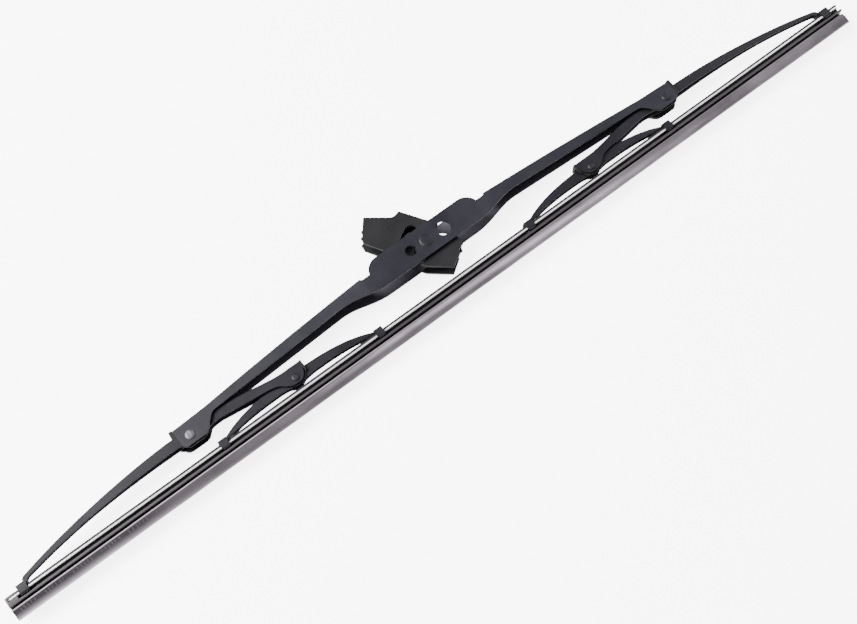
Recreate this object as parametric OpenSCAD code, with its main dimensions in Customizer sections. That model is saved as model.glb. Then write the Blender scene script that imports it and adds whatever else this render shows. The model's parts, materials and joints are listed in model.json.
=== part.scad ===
// Bracketed windscreen wiper blade with a turning arm adapter.
// The blade lies on its side: +X runs along the blade, +Y from the wiping lip to the
// back of the bridge, and +Z across the blade. The origin is on the axis of the arm pin.

/* [Rubber strip] */
// Length of the rubber strip
blade_len = 425; // [380:5:520]
// Distance from the arm pin down to the middle of the steel rails
rail_drop = 20.3; // [19.5:0.1:24]
// Height of the rubber cap above the rails
cap_h = 1.2; // [0.8:0.05:1.4]
// Width of the rubber cap
cap_w = 5.8; // [4:0.1:6.6]
// Thickness of the rubber between the two rails
waist_w = 1.8; // [1.2:0.1:2.4]
// Height of the lower lip of the rail slots
slot_lip_h = 0.35; // [0.2:0.05:0.5]
// Width of the lower lip of the rail slots
slot_lip_w = 4.2; // [3:0.1:4.4]
// Width of the neck that the claws reach round
neck_w = 3; // [2.2:0.1:3.4]
// Height of the flange below the claws
flange_h = 0.95; // [0.7:0.05:1.4]
// Width of the flange below the claws
flange_w = 6.6; // [5:0.1:7]
// Height of the thin hinge that lets the lip flip over
hinge_h = 0.8; // [0.5:0.05:1.2]
// Thickness of that hinge
hinge_w = 1; // [0.7:0.05:1.5]
// Height of the wiping wedge, hinge to tip
wedge_h = 4.4; // [3.5:0.1:6]
// Width of the shoulders of the wedge
wedge_w = 5; // [3.8:0.1:6]
// Thickness of the wiping tip
tip_w = 0.8; // [0.6:0.05:1.2]
// Length of the closed block at one end of the strip
end_block_len = 4.6; // [3:0.1:5.2]

/* [Rails] */
// Thickness of each steel rail
rail_t = 0.9; // [0.7:0.05:1.1]
// Width of each steel rail
rail_w = 2.5; // [2:0.05:2.7]
// Distance from each end of the strip to the rail's end
rail_inset = 1.6; // [1:0.1:2.5]
// Corner cut at the ends of the rails
rail_corner = 0.6; // [0.3:0.1:1]

/* [Claws] */
// Thickness of the sheet of the yoke claws
yoke_t = 0.8; // [0.6:0.05:0.9]
// Inner width of the claws
claw_gap_w = 7.3; // [7.1:0.1:8]
// Height of the gap between the rubber cap and the claw's roof
claw_roof_gap = 0.3; // [0.2:0.05:0.5]
// Gap between the rails and the claw's hooks
claw_hook_gap = 0.2; // [0.15:0.05:0.4]
// Gap between the claw's hooks and the rubber flange
claw_flange_gap = 0.25; // [0.15:0.05:0.5]
// Width of the opening between a claw's two hooks
claw_mouth_w = 4.8; // [4.6:0.1:5.2]
// Length of a yoke claw along the blade
yoke_claw_len = 3.7; // [3:0.1:5]
// Length of an outer claw along the blade
lever_claw_len = 3.9; // [3:0.1:5]
// Outer bend radius of the claws
claw_bend_r = 1.1; // [1:0.05:1.3]
// Distance from the strip's end to the middle of the outer claw
outer_claw_inset = 7.9; // [7.4:0.1:14]
// Distance from the blade's middle to the first yoke claw
inner_claw_x = 38.5; // [36:0.5:42]
// Distance from the blade's middle to the second yoke claw
mid_claw_x = 113.6; // [110:0.2:115]

/* [Yokes] */
// Outer width of a yoke channel at its pivot
yoke_w = 3.6; // [3:0.1:3.8]
// Outer width of a yoke channel beside its claws
yoke_tip_w = 3; // [2.4:0.1:3.4]
// Corner radius at the foot of a yoke claw
yoke_claw_r = 0.9; // [0.4:0.1:1.2]
// Height of the yoke pivot above the rails
yoke_pivot_lift = 5.9; // [5.6:0.1:6.3]
// Height of the yoke's back above its pivot
yoke_back_h = 2.7; // [2.3:0.1:3]
// Depth of the yoke's lobe below its pivot
yoke_lobe_h = 2.4; // [2.1:0.1:2.7]

/* [Levers] */
// Thickness of the lever's sheet
lever_t = 0.9; // [0.7:0.05:1]
// Distance from the blade's middle to the lever pivot
lever_pivot_x = 122.1; // [120:0.2:125]
// Height of the lever pivot above the rails
lever_pivot_lift = 11.5; // [11.1:0.1:11.9]
// Corner radius at the foot of an outer claw
lever_claw_r = 0.4; // [0.2:0.1:1]
// Outer width of the lever at its own pivot
lever_w = 5.4; // [4.8:0.1:5.5]
// Outer width of the lever round the yoke
lever_fork_w = 6.3; // [6.2:0.1:6.6]
// Outer width of the lever beside its claw
lever_tip_w = 2.9; // [2.5:0.1:3.4]
// Height of the lever's back above its pivot
lever_back_h = 3.3; // [3.1:0.1:3.5]
// Depth of the lever's lobe below its pivot
lever_lobe_h = 2.7; // [2.4:0.1:2.9]
// Height of the lever's back above the yoke pivot
fork_back_h = 4.9; // [4.6:0.1:5.1]
// Depth of the lever's cheek below the yoke pivot
fork_lobe_h = 2.5; // [2.2:0.1:2.7]
// Length of the lever's cheek past the yoke pivot
fork_len = 4.9; // [4:0.1:6]

/* [Bridge] */
// Thickness of the bridge's sheet
bridge_t = 1; // [0.8:0.05:1.1]
// Outer width of the bridge at its middle
bridge_w = 12.2; // [12:0.1:13]
// Outer width of the bridge at its cheeks
cheek_w = 8.5; // [8.4:0.1:9]
// Height of the side plates above the arm pin
plate_top = 6.5; // [6.2:0.1:7.2]
// Depth of the side plates below the arm pin
plate_bottom = 6.2; // [5.8:0.1:6.6]
// Radius of the side plates' shoulders
shoulder_r = 6.5; // [5.5:0.1:7]
// Distance from the middle to the relief notch
notch_x = 27.3; // [26:0.1:29]
// Length of the relief notch
notch_len = 3.6; // [2.5:0.1:4.5]
// Height of the notch's floor above the arm pin
notch_y = 1.8; // [1.5:0.1:1.9]
// Height of the web beside the notch above the arm pin
web_y = 2.9; // [2.8:0.1:3.2]
// Length of the cheek past the lever pivot
cheek_len = 4.9; // [4.4:0.1:5.6]
// Depth of the cheek below the lever pivot
cheek_drop = 3.65; // [3.3:0.05:3.9]
// Height of the cheek's back above the lever pivot
cheek_back_h = 5.6; // [5.5:0.1:6]
// Corner radius of the cheek
cheek_r = 2.4; // [1.8:0.1:2.8]

/* [Pins and bores] */
// Radius of the arm pin
arm_pin_r = 2.4; // [2:0.1:2.5]
// Radius of the arm pin's clenched heads
arm_pin_head_r = 2.75; // [2.6:0.05:3]
// Height of those heads
arm_pin_head_h = 0.35; // [0.2:0.05:0.6]
// Radius of the small bore for an arm with a side pin
small_bore_r = 2.4; // [2.2:0.05:2.6]
// Distance of the small bore from the arm pin
small_bore_x = 7.7; // [7.4:0.1:8.2]
// Radius of the large bore for an arm with a side pin
large_bore_r = 3.2; // [3:0.05:3.4]
// Distance of the large bore from the arm pin
large_bore_x = 8.8; // [8.6:0.1:9.6]
// Radius of the lever rivets
lever_rivet_r = 1.5; // [1.2:0.1:1.7]
// Radius of the heads of the lever rivets
lever_head_r = 1.95; // [1.9:0.05:2.3]
// Radius of the yoke rivets
yoke_rivet_r = 1.2; // [1:0.1:1.4]
// Radius of the heads of the yoke rivets
yoke_head_r = 1.6; // [1.5:0.05:1.9]
// Height of the rivet heads
rivet_head_h = 0.55; // [0.4:0.05:0.7]

/* [Liners] */
// Length of the liner flange past the cheek at the lever pivot
flange_out = 1.5; // [1:0.1:2]
// Length of the liner flange past the cheek at the yoke pivot
fork_flange_out = 0.9; // [0.6:0.1:1.4]
// Depth by which a liner shows below its cheek
liner_show = 0.45; // [0.3:0.05:0.7]
// Thickness of the liner's web
liner_web_t = 0.5; // [0.4:0.05:0.6]

/* [Arm adapter] */
// Thickness of the adapter across the blade
adapter_w = 8.6; // [8:0.1:9]
// Thickness of the adapter's side plates
adapter_plate_t = 1.4; // [1.2:0.1:1.8]
// Thickness of the adapter's spine
adapter_spine_t = 1.6; // [1.2:0.1:2]
// Angle of the adapter's long axis below the blade
adapter_angle = 57; // [50:1:60]
// Distance from the pin to the adapter's left edge
adapter_left = 8.9; // [8.6:0.1:9.2]
// Distance from the pin to the adapter's right edge
adapter_right = 9.4; // [9:0.1:9.6]
// Distance from the pin to the adapter's upper corner, along the adapter
adapter_reach = 28; // [26:0.5:29]
// Distance from the pin to the adapter's nose, along the adapter
adapter_nose = 13.6; // [12.5:0.1:14]
// Radius of the adapter's boss
boss_r = 4.4; // [4:0.1:4.6]
// Radial clearance round the bores that pass the adapter
pass_gap = 0.4; // [0.3:0.05:0.5]

/* [Hidden] */

$fn = 48;
steps = 14;                // straight pieces in a long curved edge
corner_steps = 8;          // straight pieces in a rounded corner
past = 60;                 // length by which a cutting shape runs past the part
running_gap = 0.05;        // clearance of a pin or a plate that turns
seat_gap = 0.02;           // clearance of a pin clenched in its own sheet

paint = [0.22, 0.22, 0.24];
plastic = [0.12, 0.12, 0.13];
steel = [0.75, 0.76, 0.78];
rubber_grey = [0.42, 0.41, 0.43];

// Heights of the rubber strip, worked down from its rails
rail_top = -rail_drop + rail_t / 2;
rail_bottom = -rail_drop - rail_t / 2;
cap_top = rail_top + cap_h;
roof_y = cap_top + claw_roof_gap;
hook_top = rail_bottom - claw_hook_gap;
yoke_claw_bottom = hook_top - yoke_t;
lever_claw_bottom = hook_top - lever_t;
flange_top = min(yoke_claw_bottom, lever_claw_bottom) - claw_flange_gap;
flange_bottom = flange_top - flange_h;
hinge_bottom = flange_bottom - hinge_h;
tip_y = hinge_bottom - wedge_h;

// Stations along the blade
outer_claw_x = blade_len / 2 - outer_claw_inset;
yoke_pivot_x = (inner_claw_x + mid_claw_x) / 2;
lever_pivot_y = lever_pivot_lift - rail_drop;
yoke_pivot_y = yoke_pivot_lift - rail_drop;
lever_tip_x = outer_claw_x - lever_claw_len / 2;
cheek_end_x = lever_pivot_x + cheek_len;
cheek_bottom = lever_pivot_y - cheek_drop;
cheek_back = lever_pivot_y + cheek_back_h;
fork_end_x = yoke_pivot_x - fork_len;
fork_back = yoke_pivot_y + fork_back_h;
lever_back = lever_pivot_y + lever_back_h;

// Half widths that nest in one another at the two pivots
cheek_inner = cheek_w / 2 - bridge_t;
fork_inner = lever_fork_w / 2 - lever_t;
lever_liner_inner = lever_w / 2 + running_gap;
yoke_liner_inner = yoke_w / 2 + running_gap;

// Points of a cubic curve from p[0] to p[3], pulled towards p[1] and p[2]
function curve(p, n = steps) = [
    for (i = [0 : n])
        let (t = i / n, s = 1 - t)
        s * s * s * p[0] + 3 * s * s * t * p[1] + 3 * s * t * t * p[2] + t * t * t * p[3]
];
// Points of a round corner about c, from angle a to angle b
function corner(c, r, a, b, n = corner_steps) = [
    for (i = [0 : n]) c + r * [cos(a + (b - a) * i / n), sin(a + (b - a) * i / n)]
];
// The same outline moved along Y, turned back to front, or mirrored about X = 0
function lower(p, d) = [for (q = p) [q[0], q[1] - d]];
function flip(p) = [for (i = [len(p) - 1 : -1 : 0]) p[i]];
function mirrored(p) = [for (q = flip(p)) [-q[0], q[1]]];
function both_ways(p) = concat(p, mirrored(p));
// A plan outline symmetric about the blade's middle plane, from its half widths
function plan_of(p, wall = 0) = concat(
    [for (q = p) [q[0], q[1] - wall]],
    [for (q = flip(p)) [q[0], wall - q[1]]]
);

// An outline seen from the side, carried across the blade
module side(outline, depth = past) {
    linear_extrude(height = depth, center = true) polygon(outline);
}
// An outline seen from above the blade's back, carried along Y
module plan(outline) {
    rotate([90, 0, 0]) linear_extrude(height = 2 * past, center = true) polygon(outline);
}
// A section across the blade, written as [z, y], carried along X
module along(section, x0, x1) {
    translate([x0, 0, 0]) rotate([0, 90, 0]) linear_extrude(height = x1 - x0) polygon(section);
}
// A sheet folded to a U: the outer form less the space inside its web and walls
module folded(outer, inner, half_widths, wall) {
    difference() {
        intersection() {
            side(outer);
            plan(plan_of(half_widths));
        }
        intersection() {
            side(inner);
            plan(plan_of(half_widths, wall));
        }
    }
}
module bore(x, y, r) {
    translate([x, y, -past / 2]) cylinder(h = past, r = r);
}

// Bridge, right half: side plate with its shoulder, relief notch, curved back and cheek
notch_end = notch_x + notch_len;
shoulder_low = asin((notch_y - plate_top + shoulder_r) / shoulder_r);
shoulder_x = notch_x - shoulder_r * cos(shoulder_low);
cheek_start_x = lever_pivot_x - 10.1;
cheek_start_y = cheek_back + 0.65;
bow_run = 24;              // length over which the bridge's back levels out at the cheek
bridge_back = curve([
    [notch_end + 1, web_y],
    [notch_end + 27, web_y - 1],
    [cheek_start_x - bow_run, cheek_start_y + 2.15],
    [cheek_start_x, cheek_start_y]
]);
wall_x = 45;               // station where the side wall is shallowest
wall_y = notch_y - 4.6;    // lower edge of the wall there
plate_x = 22;              // end of the straight lower edge of the side plate
neck_x = lever_pivot_x - 14.1;
neck_y = lever_pivot_y + 2.75;
cheek_corner = [cheek_end_x - cheek_r, cheek_bottom + cheek_r];
cheek_slope = [lever_pivot_x - 7.7, cheek_bottom + 1.75];
cheek_lobe = concat(
    corner(cheek_corner, cheek_r, 0, -90),
    curve([
        [lever_pivot_x - 4.3, cheek_bottom],
        [lever_pivot_x - 5.9, cheek_bottom],
        cheek_slope + [1.2, -1.2],
        cheek_slope
    ], corner_steps),
    curve([
        [neck_x + 3.4, neck_y - 1.55],
        [neck_x + 2.3, neck_y - 0.45],
        [neck_x + 1.4, neck_y - 0.1],
        [neck_x, neck_y]
    ], corner_steps)
);
bridge_half = concat(
    corner([shoulder_x, plate_top - shoulder_r], shoulder_r, 90, shoulder_low, steps),
    [[notch_end, notch_y]],
    bridge_back,
    [[cheek_end_x, cheek_back]],
    cheek_lobe,
    curve([
        [wall_x, wall_y],
        [wall_x - 8, wall_y + 0.3],
        [plate_x + 9, -plate_bottom],
        [plate_x, -plate_bottom]
    ])
);
bridge_space = concat(
    [[notch_end, past]],
    lower(concat([[notch_end, web_y]], bridge_back), bridge_t),
    [[cheek_end_x, cheek_back - bridge_t], [cheek_end_x + past, cheek_back - bridge_t]],
    [[cheek_end_x + past, -past]]
);
plate_end_x = 25;          // end of the parallel middle of the bridge, seen from its back
taper_x = 48;              // start of the straight taper
taper_w = bridge_w - 1.7;  // width there
bridge_half_widths = concat(
    curve([
        [plate_end_x, bridge_w / 2],
        [plate_end_x + 9, bridge_w / 2],
        [taper_x - 10, taper_w / 2 + 0.2],
        [taper_x, taper_w / 2]
    ], corner_steps),
    [[neck_x, cheek_w / 2], [cheek_end_x + past, cheek_w / 2]]
);
module main_bridge() {
    widths = concat([for (q = flip(bridge_half_widths)) [-q[0], q[1]]], bridge_half_widths);
    color(paint) difference() {
        folded(both_ways(bridge_half), both_ways(bridge_space), widths, bridge_t);
        bore(0, 0, arm_pin_r + seat_gap);
        bore(-small_bore_x, 0, small_bore_r);
        bore(large_bore_x, 0, large_bore_r);
        for (s = [-1, 1]) bore(s * lever_pivot_x, lever_pivot_y, lever_rivet_r + seat_gap);
    }
}

// A pin clenched over at both ends, with low domed heads outside a sheet of width w
module clenched_pin(x, y, r, head_r, head_h, w) {
    rise = 0.45;           // share of the head that is a straight rim
    profile = concat(
        [[0, -w / 2 - head_h]],
        [for (i = [corner_steps : -1 : 0]) let (a = 90 * i / corner_steps)
            [head_r * cos(a), -w / 2 - head_h * (rise + (1 - rise) * sin(a))]],
        [[head_r, -w / 2], [r, -w / 2], [r, w / 2], [head_r, w / 2]],
        [for (i = [0 : corner_steps]) let (a = 90 * i / corner_steps)
            [head_r * cos(a), w / 2 + head_h * (rise + (1 - rise) * sin(a))]]
    );
    color(paint) translate([x, y, 0]) rotate_extrude() polygon(profile);
}
module arm_pin() {
    clenched_pin(0, 0, arm_pin_r, arm_pin_head_r, arm_pin_head_h, bridge_w);
}
module lever_rivet(s) {
    clenched_pin(s * lever_pivot_x, lever_pivot_y, lever_rivet_r, lever_head_r, rivet_head_h, cheek_w);
}
module yoke_rivet(s) {
    clenched_pin(s * yoke_pivot_x, yoke_pivot_y, yoke_rivet_r, yoke_head_r, rivet_head_h,
        lever_fork_w);
}

// A claw seen along the blade: roof, two sides and the hooks that reach under the rails
function claw_half(t, bottom) = let (inner = claw_gap_w / 2, outer = inner + t) concat(
    corner([outer - claw_bend_r, roof_y + t - claw_bend_r], claw_bend_r, 90, 0),
    corner([outer - t * 0.8, bottom + t * 0.8], t * 0.8, 0, -90),
    [[claw_mouth_w / 2, bottom], [claw_mouth_w / 2, hook_top], [inner, hook_top], [inner, roof_y]]
);
module claw(x, len, t, bottom, foot_r) {
    foot = concat([[len / 2, 0]], corner([len / 2 - foot_r, bottom + foot_r], foot_r, 0, -90));
    intersection() {
        along(both_ways(claw_half(t, bottom)), x - len / 2, x + len / 2);
        translate([x, 0, 0]) side(both_ways(foot));
    }
}

// Lever, right side: fork round the yoke, main pivot, long arm and outer claw
arm_root_x = lever_pivot_x + 5;
arm_run = 25;              // length over which the arm's back stays level
arm_tip = [lever_tip_x - 2.7, roof_y + lever_t + 3];
claw_roof_top = roof_y + lever_t;
lever_upper = concat(
    [[fork_end_x, fork_back]],
    curve([
        [yoke_pivot_x + 3, fork_back],
        [yoke_pivot_x + 11, fork_back + 0.1],
        [lever_pivot_x - 27, lever_back - 0.7],
        [lever_pivot_x - 14, lever_back - 0.4]
    ]),
    curve([
        [arm_root_x, lever_back],
        [arm_root_x + arm_run, lever_back],
        [arm_tip[0] - 20, arm_tip[1] + 5.1],
        arm_tip
    ], steps + 3),
    curve([
        arm_tip + [0.8, -0.2],
        arm_tip + [2.8, -0.6],
        [lever_tip_x + 1.1, claw_roof_top + 1.7],
        [lever_tip_x + 1.3, claw_roof_top]
    ], corner_steps)
);
arm_low = lever_back - 4.4;
fork_corner = [yoke_pivot_x + 9.6, yoke_pivot_y + 1.6];
fork_lobe_y = yoke_pivot_y - fork_lobe_h;
lever_lower = concat(
    [[lever_tip_x + 1.3, roof_y], [lever_tip_x - 0.2, roof_y]],
    curve([
        [lever_tip_x - 0.4, roof_y + 0.4],
        [lever_tip_x - 0.6, roof_y + 1],
        [lever_tip_x - 1.1, roof_y + 1.6],
        arm_tip + [0.9, -2]
    ], corner_steps),
    curve([
        arm_tip + [0.5, -1.9],
        arm_tip + [-15, 1.3],
        [arm_root_x + 38, arm_low],
        [arm_root_x + 4, arm_low]
    ], steps + 3),
    curve([
        [lever_pivot_x + 4.5, arm_low],
        [lever_pivot_x + 3, arm_low - 0.2],
        [lever_pivot_x + 2.5, lever_pivot_y - lever_lobe_h],
        [lever_pivot_x, lever_pivot_y - lever_lobe_h]
    ], corner_steps),
    curve([
        [lever_pivot_x - 3, lever_pivot_y - lever_lobe_h],
        [lever_pivot_x - 6, lever_pivot_y - lever_lobe_h],
        [lever_pivot_x - 7, arm_low + 0.4],
        [lever_pivot_x - 14, arm_low + 0.2]
    ], corner_steps),
    curve([
        fork_corner + [1.5, 0.35],
        fork_corner + [-1, 0],
        fork_corner + [-2.3, -0.7],
        fork_corner + [-3.4, -1.5]
    ], corner_steps),
    curve([
        fork_corner + [-3.7, -1.8],
        [yoke_pivot_x + 4.4, yoke_pivot_y - 1.5],
        [yoke_pivot_x + 3, fork_lobe_y],
        [yoke_pivot_x, fork_lobe_y]
    ], corner_steps),
    curve([
        [yoke_pivot_x - 0.6, fork_lobe_y],
        [yoke_pivot_x - 2.4, fork_lobe_y],
        [fork_end_x + 0.6, yoke_pivot_y - 0.6],
        [fork_end_x, yoke_pivot_y + 2.2]
    ], corner_steps)
);
lever_space = concat(
    [[fork_end_x - past, fork_back - lever_t]],
    lower([for (q = lever_upper) if (q[0] < arm_tip[0] - 0.5) q], lever_t),
    [for (q = lever_upper) if (q[0] > arm_tip[0]) q - 0.85 * lever_t * [1, 1]],
    [[lever_tip_x + 1.3 - 0.85 * lever_t, -past], [fork_end_x - past, -past]]
);
lever_half_widths = [
    [fork_end_x - past, lever_fork_w / 2],
    [yoke_pivot_x + 9, lever_fork_w / 2],
    [yoke_pivot_x + 28, lever_w / 2],
    [arm_root_x + 4, lever_w / 2],
    [arm_root_x + 23, lever_w / 2 - 0.6],
    [arm_root_x + 45, lever_tip_w / 2 + 0.1],
    [arm_tip[0], lever_tip_w / 2],
    [outer_claw_x, lever_tip_w / 2]
];
module lever() {
    color(paint) difference() {
        union() {
            folded(concat(lever_upper, lever_lower), lever_space, lever_half_widths, lever_t);
            claw(outer_claw_x, lever_claw_len, lever_t, lever_claw_bottom, lever_claw_r);
        }
        bore(lever_pivot_x, lever_pivot_y, lever_rivet_r + running_gap);
        bore(yoke_pivot_x, yoke_pivot_y, yoke_rivet_r + seat_gap);
    }
}

// Yoke, seen from its pivot: one half of its back and belly, then the same mirrored
yoke_span = (mid_claw_x - inner_claw_x) / 2;
yoke_neck = yoke_span - yoke_claw_len / 2;
yoke_roof_top = roof_y + yoke_t;
yoke_back = yoke_pivot_y + yoke_back_h;
yoke_belly = yoke_pivot_y - 1.6;
yoke_upper = concat(
    curve([
        [0, yoke_back],
        [yoke_neck * 0.39, yoke_back],
        [yoke_neck - 10, yoke_back - 1.1],
        [yoke_neck - 1, yoke_roof_top + 0.8]
    ]),
    [[yoke_neck - 0.2, yoke_roof_top + 0.5], [yoke_neck + 0.9, yoke_roof_top]]
);
yoke_lower = concat(
    [[yoke_neck + 0.6, roof_y]],
    curve([
        [yoke_neck - 1.2, roof_y],
        [yoke_neck - 8.7, yoke_belly - 0.6],
        [yoke_neck - 15.7, yoke_belly],
        [yoke_neck - 23.7, yoke_belly]
    ]),
    curve([
        [yoke_neck - 27, yoke_belly],
        [yoke_neck - 30, yoke_belly],
        [3, yoke_pivot_y - yoke_lobe_h],
        [0, yoke_pivot_y - yoke_lobe_h]
    ], corner_steps)
);
yoke_space = concat(
    lower([for (q = yoke_upper) if (q[0] < yoke_neck - 3) q], yoke_t),
    [[yoke_neck - 3, yoke_roof_top + 0.6], [yoke_neck - 3, -past]]
);
yoke_half_widths = [
    [-yoke_neck - 1, yoke_tip_w / 2],
    [-yoke_span / 2, yoke_w / 2],
    [yoke_span / 2, yoke_w / 2],
    [yoke_neck + 1, yoke_tip_w / 2]
];
module yoke() {
    color(paint) difference() {
        union() {
            translate([yoke_pivot_x, 0, 0])
                folded(both_ways(concat(yoke_upper, yoke_lower)), both_ways(yoke_space),
                    yoke_half_widths, yoke_t);
            for (x = [inner_claw_x, mid_claw_x])
                claw(x, yoke_claw_len, yoke_t, yoke_claw_bottom, yoke_claw_r);
        }
        bore(yoke_pivot_x, yoke_pivot_y, yoke_rivet_r + running_gap);
    }
}

// Liner of a pivot: two plates and a web of plastic inside the cheeks of a sheet that ends
// at end_x, with a wider flange past that end, on the side given by out
module liner(outline, end_x, out, inner_half, plate_half, flange_half, passage_y) {
    difference() {
        union() {
            side(outline, 2 * plate_half);
            intersection() {
                side(outline, 2 * flange_half);
                translate([end_x + out * past / 2, 0, 0]) cube(past, center = true);
            }
        }
        translate([end_x, passage_y - past / 2, 0])
            cube([2 * past, past, 2 * inner_half], center = true);
    }
}
lever_web_y = cheek_back - bridge_t;
module lever_liner() {
    start_x = lever_pivot_x - 8.4;
    flange_x = cheek_end_x + flange_out;
    foot_y = cheek_bottom - liner_show;
    color(plastic) difference() {
        liner([
            [start_x, lever_web_y],
            [cheek_end_x, lever_web_y],
            [cheek_end_x, cheek_back + 0.2],
            [flange_x, cheek_back + 0.2],
            [flange_x, cheek_corner[1] + 0.3],
            [cheek_end_x - cheek_r, foot_y],
            [lever_pivot_x - 4.6, foot_y],
            [start_x, cheek_slope[1] - liner_show + 1]
        ], cheek_end_x, 1, lever_liner_inner, cheek_inner, cheek_w / 2 - 0.3,
            lever_web_y - liner_web_t);
        bore(lever_pivot_x, lever_pivot_y, lever_rivet_r + running_gap);
    }
}
fork_web_y = fork_back - lever_t;
module yoke_liner() {
    start_x = yoke_pivot_x + 4.2;
    flange_x = fork_end_x - fork_flange_out;
    foot_y = fork_lobe_y - liner_show;
    color(plastic) difference() {
        liner(concat(
            [[flange_x, yoke_pivot_y + 1.2], [flange_x, fork_back], [fork_end_x, fork_back],
                [fork_end_x, fork_web_y], [start_x, fork_web_y], [start_x, yoke_pivot_y - 0.8]],
            curve([
                [start_x, yoke_pivot_y - 1.6],
                [start_x - 1.4, foot_y],
                [yoke_pivot_x + 1.5, foot_y],
                [yoke_pivot_x, foot_y]
            ], corner_steps),
            curve([
                [yoke_pivot_x - 0.6, foot_y],
                [yoke_pivot_x - 2.9, foot_y],
                [fork_end_x + 0.2, yoke_pivot_y - 1.1],
                [flange_x, yoke_pivot_y + 0.8]
            ], corner_steps)),
            fork_end_x, -1, yoke_liner_inner, fork_inner, lever_fork_w / 2 - 0.1,
            fork_web_y - liner_web_t);
        bore(yoke_pivot_x, yoke_pivot_y, yoke_rivet_r + running_gap);
    }
}

// Adapter, drawn along its own long axis: u towards the nose, v towards the right edge
function adapter_point(u, v) = [
    u * cos(adapter_angle) + v * sin(adapter_angle),
    v * cos(adapter_angle) - u * sin(adapter_angle)
];
adapter_edge = concat(
    [[-adapter_reach, 1.9]],
    curve([[-17.5, 5.6], [-16.4, 6.3], [-15.8, 7], [-15.3, adapter_right]], corner_steps),
    corner([6.2, adapter_right - 5.2], 5.2, 90, 28, corner_steps),
    [[adapter_nose - 0.5, 5.8], [adapter_nose + 0.95, 4.4], [adapter_nose + 0.3, 3.5]],
    [[adapter_nose + 0.3, 1.3], [adapter_nose + 0.8, 0.4], [adapter_nose + 0.9, -6.6]],
    [[3.6, -adapter_left - 1.1], [-adapter_reach + 4.4, -adapter_left]],
    [[-adapter_reach + 3, -7.6]]
);
adapter_outline = [for (q = adapter_edge) adapter_point(q[0], q[1])];
adapter_inside = [for (q = [
    [-adapter_reach - 9, -past], [-adapter_reach - 9, 1],
    [-17.5, 5.6 - adapter_spine_t], [-14, adapter_right - adapter_spine_t],
    [8, adapter_right - adapter_spine_t], [adapter_nose + 9, 1], [adapter_nose + 9, -past]
]) adapter_point(q[0], q[1])];
// Slot round the pin that the small bore looks through, from angle a to angle b
module arc_slot(r, half, a, b) {
    difference() {
        linear_extrude(height = past, center = true)
            polygon(concat([[0, 0]], [for (t = [a : (b - a) / 8 : b]) 2 * r * [cos(t), sin(t)]]));
        translate([0, 0, -past]) cylinder(h = 2 * past, r = r - half);
        difference() {
            cube([8 * r, 8 * r, past], center = true);
            translate([0, 0, -past]) cylinder(h = 2 * past, r = r + half);
        }
    }
    for (t = [a, b]) bore(r * cos(t), r * sin(t), half);
}
module arm_adapter() {
    channel_half = adapter_w / 2 - adapter_plate_t;
    nib_r = 0.5;
    color(plastic) difference() {
        union() {
            difference() {
                side(adapter_outline, adapter_w);
                side(adapter_inside, 2 * channel_half);
            }
            cylinder(h = adapter_w, r = boss_r, center = true);
            cylinder(h = bridge_w - 2 * bridge_t - 4 * running_gap, r = arm_pin_r + 1.2,
                center = true);
            for (q = [[1.95, -4.3], [2.85, -7.1]], s = [-1, 1])
                translate(concat(adapter_point(q[0] - adapter_reach, q[1]),
                    s * (channel_half + adapter_plate_t / 2)))
                    cylinder(h = adapter_plate_t, r = nib_r, center = true);
        }
        bore(0, 0, arm_pin_r + running_gap);
        arc_slot(small_bore_x, small_bore_r + pass_gap, 103, 212);
        bore(large_bore_x, 0, large_bore_r + pass_gap);
    }
}

// Rubber strip, seen along the blade
rubber_half = [
    [0, cap_top],
    [cap_w / 2 - 0.7, cap_top],
    [cap_w / 2, cap_top - 0.5],
    [cap_w / 2, rail_top],
    [waist_w / 2, rail_top],
    [waist_w / 2, rail_bottom],
    [slot_lip_w / 2, rail_bottom],
    [slot_lip_w / 2 - 0.2, rail_bottom - slot_lip_h],
    [neck_w / 2, rail_bottom - slot_lip_h - 0.15],
    [neck_w / 2, flange_top],
    [flange_w / 2, flange_top],
    [flange_w / 2, flange_bottom],
    [hinge_w / 2, flange_bottom],
    [hinge_w / 2, hinge_bottom],
    [wedge_w / 2 - 0.3, hinge_bottom],
    [wedge_w / 2, hinge_bottom - 0.4],
    [wedge_w / 2 - 0.35, hinge_bottom - 0.9],
    [wedge_w * 0.27, tip_y + wedge_h * 0.42],
    [tip_w / 2, tip_y + 0.6],
    [tip_w / 2, tip_y]
];
module rubber_strip() {
    block_half = [
        [0, cap_top],
        [cap_w / 2 - 0.7, cap_top],
        [flange_w / 2, cap_top - 0.7],
        [flange_w / 2, flange_bottom],
        [0, flange_bottom]
    ];
    start_x = -blade_len / 2;
    color(rubber_grey) difference() {
        union() {
            along(both_ways(rubber_half), start_x, -start_x);
            along(both_ways(block_half), start_x, start_x + end_block_len);
        }
        for (s = [-1, 1])
            translate([start_x + rail_inset, rail_bottom, s > 0 ? waist_w / 2 : -past - waist_w / 2])
                cube([past, rail_t, past]);
    }
}
// Steel rail in the slot of the strip, on the side given by s
module vertebra(s) {
    x = blade_len / 2 - rail_inset;
    z0 = waist_w / 2;
    z1 = z0 + rail_w;
    color(steel) translate([0, -rail_drop, 0]) rotate([90, 0, 0])
        linear_extrude(height = rail_t, center = true) polygon([
            [-x, s * z0], [x, s * z0], [x, s * (z1 - rail_corner)], [x - rail_corner, s * z1],
            [-x + rail_corner, s * z1], [-x, s * (z1 - rail_corner)]
        ]);
}

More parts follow.
